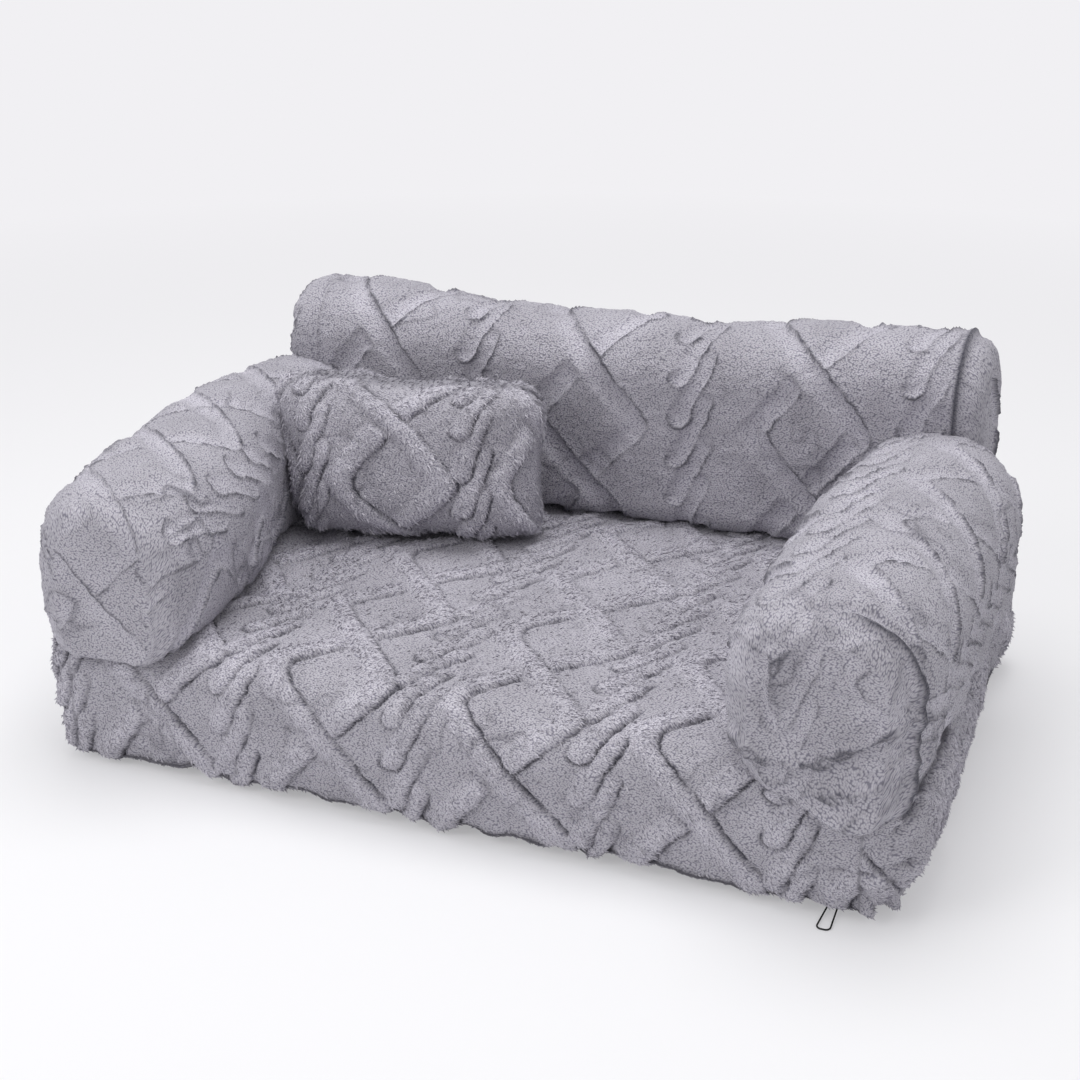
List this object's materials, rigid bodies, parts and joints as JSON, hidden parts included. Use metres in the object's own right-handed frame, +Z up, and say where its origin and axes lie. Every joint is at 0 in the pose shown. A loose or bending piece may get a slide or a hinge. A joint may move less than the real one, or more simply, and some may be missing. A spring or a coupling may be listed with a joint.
{
  "type": "dog sofa bed",
  "caption": "Sofa-shaped plush dog bed: foam seat cushion with two bolster arms, a backrest, a loose scatter cushion and a zip underneath.",
  "frame": {"origin": "on the floor, under the middle of the seat cushion", "axes": "+X towards the viewer's right, along the backrest; +Y towards the backrest; +Z up"},
  "size_m": [0.9142, 0.6108, 0.3781],
  "materials": {
    "plush": "grey long-pile plush with an embossed cable and diamond pattern",
    "underside_cloth": "black non-slip cloth",
    "foam": "polyurethane foam block",
    "fibre_filling": "loose polyester fibre",
    "zip_tape": "black woven tape",
    "zip_teeth": "black moulded plastic",
    "zip_metal": "black enamelled zinc"
  },
  "bodies": {
    "sofa": {"seat_and_front_panel": "plush", "left_side_panel": "plush", "right_side_panel": "plush", "rear_panel": "plush", "seat_foam": "foam", "underside_panel": "underside_cloth", "underside_strip": "underside_cloth", "left_arm_cover": "plush", "left_arm_front_panel": "plush", "left_arm_filling": "fibre_filling", "right_arm_cover": "plush", "right_arm_front_panel": "plush", "right_arm_filling": "fibre_filling", "backrest_cover": "plush", "backrest_left_end_panel": "plush", "backrest_right_end_panel": "plush", "backrest_filling": "fibre_filling", "zip_inner_tape": "zip_tape", "zip_outer_tape": "zip_tape", "zip_inner_teeth": "zip_teeth", "zip_outer_teeth": "zip_teeth", "zip_inner_top_stop": "zip_metal", "zip_outer_top_stop": "zip_metal", "zip_bottom_stop": "zip_metal"},
    "scatter_cushion": {"scatter_cushion_front": "plush", "scatter_cushion_back": "plush", "scatter_cushion_filling": "fibre_filling"},
    "zip_slider": {"zip_slider": "zip_metal"},
    "zip_pull": {"zip_pull": "zip_metal"}
  },
  "joints": [
    {"name": "cushion_lift", "type": "slide", "parent": "sofa", "child": "scatter_cushion", "axis": [0.3201, -0.5502, 0.7713], "range_m": [0, 0.4]},
    {"name": "zip_run", "type": "slide", "parent": "sofa", "child": "zip_slider", "axis": [0, 1, 0], "range_m": [0, 0.35], "deforming": ["zip_inner_teeth", "zip_outer_teeth"]},
    {"name": "pull_swing", "type": "hinge", "parent": "zip_slider", "child": "zip_pull", "pos_m": [0.37, -0.253, 0.0039], "axis": [1, 0, 0], "range_deg": [0, 165]}
  ]
}
